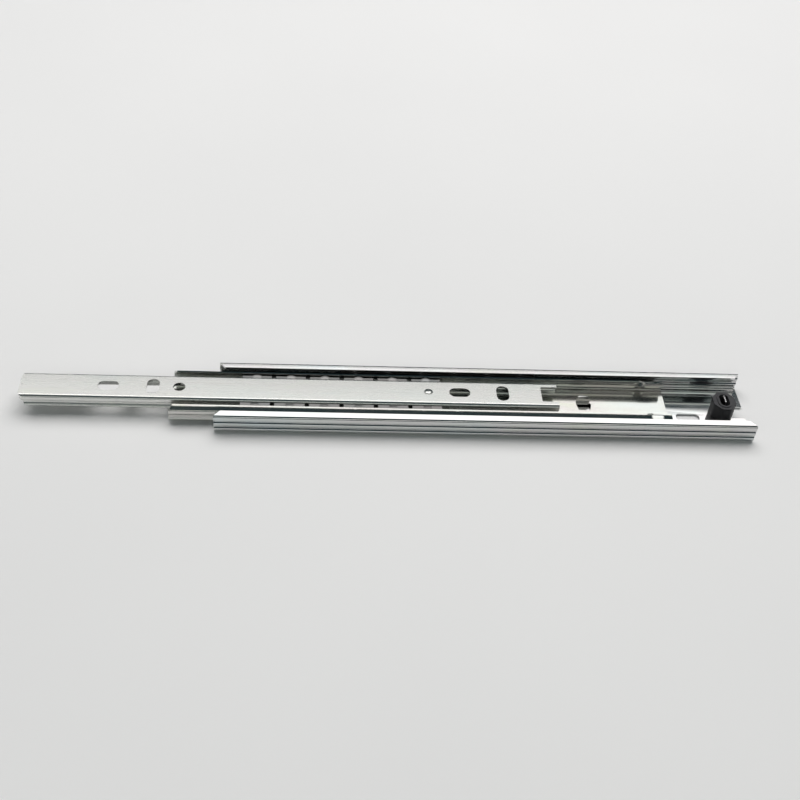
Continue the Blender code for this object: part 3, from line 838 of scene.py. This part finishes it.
def ball_places(row):
    """Where the balls of a row lie along the slide."""
    return [cad_ball(f"{row}_ball_left_{number}")[0].x for number in range(1, BALLS_PER_SIDE + 1)]


def balls(row, body, material):
    """The polished balls of a row, which share one mesh."""
    builder = bmesh.new()
    radius = cad_ball(f"{row}_ball_left_1")[1]
    bmesh.ops.create_icosphere(builder, subdivisions=4, radius=radius)
    first = object_from(f"{row}_balls_mesh", builder)
    mesh = first.data
    mesh.shade_smooth()
    mesh.materials.append(material)
    bpy.data.objects.remove(first)
    for side in ("left", "right"):
        for number in range(1, BALLS_PER_SIDE + 1):
            node = f"{row}_ball_{side}_{number}"
            ball = bpy.data.objects.new(f"{row}_bearing_{side}_{number}", mesh)
            ball.location = cad_ball(node)[0]
            bpy.context.scene.collection.objects.link(ball)
            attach(ball, body)
            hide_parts(node)


def drill_pockets(cage, places, height, wall):
    """Drill round ball pockets across both walls of a cage."""
    across = Matrix.Rotation(math.pi / 2, 3, "X")
    builder = bmesh.new()
    for side in (-1, 1):
        for x in places:
            drill = bmesh.ops.create_cone(
                builder, cap_ends=True, segments=ROUND_SIDES,
                radius1=POCKET_RADIUS, radius2=POCKET_RADIUS, depth=4 * CAGE_SHEET,
            )
            bmesh.ops.rotate(builder, verts=drill["verts"], matrix=across)
            bmesh.ops.translate(builder, verts=drill["verts"], vec=(x, side * wall, height))
    combine(cage, object_from("pockets", builder), "DIFFERENCE")


def add_pocket_crown(builder, x, side, y, edge, top):
    """Add the low crown that the cage's lip forms over a ball, as wide as the lip."""
    columns = spread(-CROWN_RADIUS, CROWN_RADIUS, 24)
    rows = spread(edge + CROWN_INNER_GAP, INNER_CAGE_HIGH.y - CROWN_OUTER_GAP, 10)
    grids = ([], [])
    for across in rows:
        for along in columns:
            fall = (along ** 2 + (across - y) ** 2) / CROWN_RADIUS ** 2
            rise = max(CROWN_RISE * (1 - fall), -CROWN_SINK)
            grids[0].append(builder.verts.new((x + along, side * across, top + rise)))
            grids[1].append(builder.verts.new((x + along, side * across, top - CROWN_ROOT)))
    width = len(columns)
    for grid in grids:
        for row in range(len(rows) - 1):
            for column in range(width - 1):
                first = row * width + column
                builder.faces.new([grid[first + step] for step in (0, 1, width + 1, width)])
    last_row = (len(rows) - 1) * width
    rim = list(range(width))
    rim += [row * width + width - 1 for row in range(1, len(rows))]
    rim += [last_row + column for column in range(width - 2, -1, -1)]
    rim += [row * width for row in range(len(rows) - 2, 0, -1)]
    for first, second in zip(rim, rim[1:] + rim[:1]):
        builder.faces.new((grids[0][first], grids[0][second], grids[1][second], grids[1][first]))


def outer_cage(material):
    """The strip channel that holds the outer balls, hidden under the middle member."""
    floor = OUTER_CAGE_LOW.z + CAGE_SHEET / 2
    wall = OUTER_CAGE_HIGH.y - CAGE_SHEET / 2
    half = [(wall, floor, CAGE_BEND), (wall, OUTER_CAGE_HIGH.z, 0)]
    cage = rolled_strip(
        "outer_cage_formed", mirrored(half), CAGE_SHEET, (OUTER_CAGE_LOW.x, OUTER_CAGE_HIGH.x),
        lambda station, side, height: (station, side, height),
    )
    drill_pockets(cage, ball_places("outer"), cad_ball("outer_ball_left_1")[0].z, wall)
    finish_piece(cage, material, CAGE_EDGE)
    return cage


def inner_cage(material):
    """The strip channel that holds the inner balls, with lips crowned over them."""
    floor = INNER_CAGE_LOW.z + CAGE_SHEET / 2
    wall = INNER_CAGE_HIGH.y - CAGE_SHEET / 2
    top = INNER_CAGE_HIGH.z - CAGE_SHEET / 2
    edge = DRAWER_HIGH.y + INNER_CAGE_GAP
    half = [(wall, floor, CAGE_BEND), (wall, top, CAGE_LIP_BEND), (edge, top, 0)]
    cage = rolled_strip(
        "inner_cage_formed", mirrored(half), CAGE_SHEET, (INNER_CAGE_LOW.x, INNER_CAGE_HIGH.x),
        lambda station, side, height: (station, side, height),
    )
    centre = cad_ball("inner_ball_right_1")[0]
    places = ball_places("inner")
    drill_pockets(cage, places, centre.z, wall)
    builder = bmesh.new()
    for side in (-1, 1):
        for x in places:
            add_pocket_crown(builder, x, side, centre.y, edge, INNER_CAGE_HIGH.z)
    combine(cage, object_from("crowns", builder), "UNION")
    for side in (-1, 1):
        outlines = []
        for x in places[:-1]:
            outlines.append(circle_outline(
                x + BALL_PITCH / 2, side * (edge + CAGE_HOLE_INSET), CAGE_HOLE_RADIUS,
            ))
        punch(cage, outlines, INNER_CAGE_HIGH.z - 2 * CAGE_SHEET, DRAWER_HIGH.z)
    finish_piece(cage, material, CAGE_EDGE)
    return cage


# ---------------------------------------------------------------- bumper


def rear_bumper(material):
    """An eight-sided rubber sleeve with softened edges and an oblong bore for the tongue."""
    length = BUMPER_HIGH.x - BUMPER_LOW.x
    width = BUMPER_HIGH.y - BUMPER_LOW.y
    cut_x = length * BUMPER_CUT_SHARE
    cut_y = width * BUMPER_CUT_SHARE
    corners = []
    for sign_x, sign_y in ((1, 1), (-1, 1), (-1, -1), (1, -1)):
        pair = [
            (sign_x * length / 2, sign_y * (width / 2 - cut_y)),
            (sign_x * (length / 2 - cut_x), sign_y * width / 2),
        ]
        corners += pair if sign_x * sign_y > 0 else pair[::-1]
    builder = bmesh.new()
    add_prism(builder, [(BUMPER_X + x, y) for x, y in corners], BUMPER_LOW.z, BUMPER_HIGH.z)
    upright = [
        line for line in builder.edges if abs(line.verts[0].co.z - line.verts[1].co.z) > 1 * MM
    ]
    bmesh.ops.bevel(
        builder, geom=upright, offset=BUMPER_BEND, segments=5, profile=0.5, affect="EDGES",
        clamp_overlap=True,
    )
    bumper = object_from("rear_bumper_moulded", builder)
    body_top = BUMPER_HIGH.z - BUMPER_RIM_HEIGHT
    for vertex in bumper.data.vertices:
        vertex.co.z = min(vertex.co.z, body_top)
    builder = bmesh.new()
    add_prism(
        builder, rounded_rectangle(BUMPER_X, 0.0, *BUMPER_RIM_SIZE),
        body_top - 2 * BUMPER_RIM_HEIGHT, BUMPER_HIGH.z,
    )
    combine(bumper, object_from("rim", builder), "UNION")
    bore = rounded_rectangle(BUMPER_X, 0.0, *BUMPER_BORE_SIZE)
    punch(bumper, [bore], 0.0, 2 * BUMPER_HIGH.z)
    finish_piece(bumper, material, BUMPER_EDGE)
    return bumper


# ---------------------------------------------------------------- stage


def floor_sheet(material):
    """A wide pale floor just under the slide."""
    builder = bmesh.new()
    bmesh.ops.create_grid(builder, x_segments=1, y_segments=1, size=6.0)
    floor = object_from("floor", builder)
    floor.location.z = CABINET_LOW.z - 0.02 * MM
    floor.data.materials.append(material)


def soft_light(name, centre, width, height, watts, in_reflections=True, colour=WARM_WHITE):
    """A rectangular light that faces the slide."""
    data = bpy.data.lights.new(name, "AREA")
    data.shape = "RECTANGLE"
    data.size = width
    data.size_y = height
    data.energy = watts
    data.color = colour
    light = bpy.data.objects.new(name, data)
    bpy.context.scene.collection.objects.link(light)
    light.location = centre
    light.rotation_euler = (-Vector(centre)).to_track_quat("-Z", "Y").to_euler()
    light.visible_glossy = in_reflections


def panel(name, side, low, high, width, watts, colour=WARM_WHITE):
    """A light on the +Y side (side 1) or the -Y side (-1), between two elevations in degrees."""
    bottom = math.radians(low)
    top = math.radians(high)
    middle = (bottom + top) / 2
    centre = (
        0.0, side * LIGHT_DISTANCE * math.cos(middle), LIGHT_DISTANCE * math.sin(middle),
    )
    height = 2 * LIGHT_DISTANCE * math.tan((top - bottom) / 2)
    soft_light(name, centre, width, height, watts, colour=colour)


def studio():
    """A dim room with a tall window on the +Y side, and fainter panels for the other sides."""
    world = bpy.data.worlds.new("dim_room")
    world.use_nodes = True
    bpy.context.scene.world = world
    background = world.node_tree.nodes["Background"]
    background.inputs["Color"].default_value = DIM_TEAL
    background.inputs["Strength"].default_value = 1.0
    panel("back_window", side=1, low=43.4, high=88.0, width=3.2, watts=32.0)
    panel("room_glow", side=-1, low=26.0, high=42.9, width=6.4, watts=13.0, colour=ROOM_CREAM)
    soft_light("side_glow", centre=(1.46, 1.22, 0.62), width=1.6, height=0.9, watts=2.5)
    soft_light(
        "high_back", centre=(0.0, 1.0, 1.8), width=2.6, height=1.8, watts=21.0,
        in_reflections=False,
    )
    bpy.context.scene.view_settings.view_transform = "Standard"


def add_camera():
    """The camera stands on the -Y side and looks down at the middle of the whole slide."""
    elevation = math.radians(43.17)
    yaw = math.radians(-4.79)
    roll = math.radians(4.45)
    distance = 643.1 * MM
    ahead = 47.5 * MM
    across = 6.4 * MM
    aim = Vector(((CABINET_LOW.x + CABINET_HIGH.x) / 2 - ahead, across, CABINET_LOW.z))
    right = Vector((1.0, 0.0, 0.0))
    up = Vector((0.0, math.sin(elevation), math.cos(elevation)))
    back = right.cross(up)
    turn = Matrix.Rotation(yaw, 3, "Z")
    tilt = Matrix.Rotation(roll, 3, "Z")
    axes = turn @ Matrix((right, up, back)).transposed() @ tilt
    data = bpy.data.cameras.new("camera")
    data.lens = 50.82
    data.sensor_width = 36.0
    data.clip_start = 0.01
    camera = bpy.data.objects.new("camera", data)
    bpy.context.scene.collection.objects.link(camera)
    camera.matrix_world = Matrix.Translation(aim + axes @ Vector((0, 0, distance))) @ axes.to_4x4()
    bpy.context.scene.camera = camera


def place(piece, body, node):
    """Hang a piece on its body, in place of its CAD node."""
    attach(piece, body)
    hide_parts(node)


def main():
    """Build every piece, the floor, the lights and the camera."""
    cabinet_zinc = zinc_plate("cabinet_zinc_plate", (0.59, 0.61, 0.60), 0.10, 0.0)
    middle_zinc = zinc_plate("middle_zinc_plate", (0.55, 0.565, 0.535), 0.17, 11.0)
    drawer_zinc = zinc_plate("drawer_zinc_plate", (0.69, 0.705, 0.68), 0.27, 23.0, 0.4)
    cage_zinc = zinc_plate("cage_zinc_plate", (0.24, 0.24, 0.235), 0.34, 31.0)
    steel = ball_steel()
    place(cabinet_member(cabinet_zinc), "cabinet", "cabinet_member")
    place(middle_member(middle_zinc), "middle", "middle_member")
    place(drawer_member(drawer_zinc), "drawer", "drawer_member")
    place(outer_cage(cage_zinc), "outer_cage", "outer_ball_cage")
    place(inner_cage(cage_zinc), "inner_cage", "inner_ball_cage")
    place(rear_bumper(bumper_rubber()), "cabinet", "rear_bumper")
    balls("outer", "outer_cage", steel)
    balls("inner", "inner_cage", steel)
    floor_sheet(pale_paper())
    studio()
    add_camera()


main()
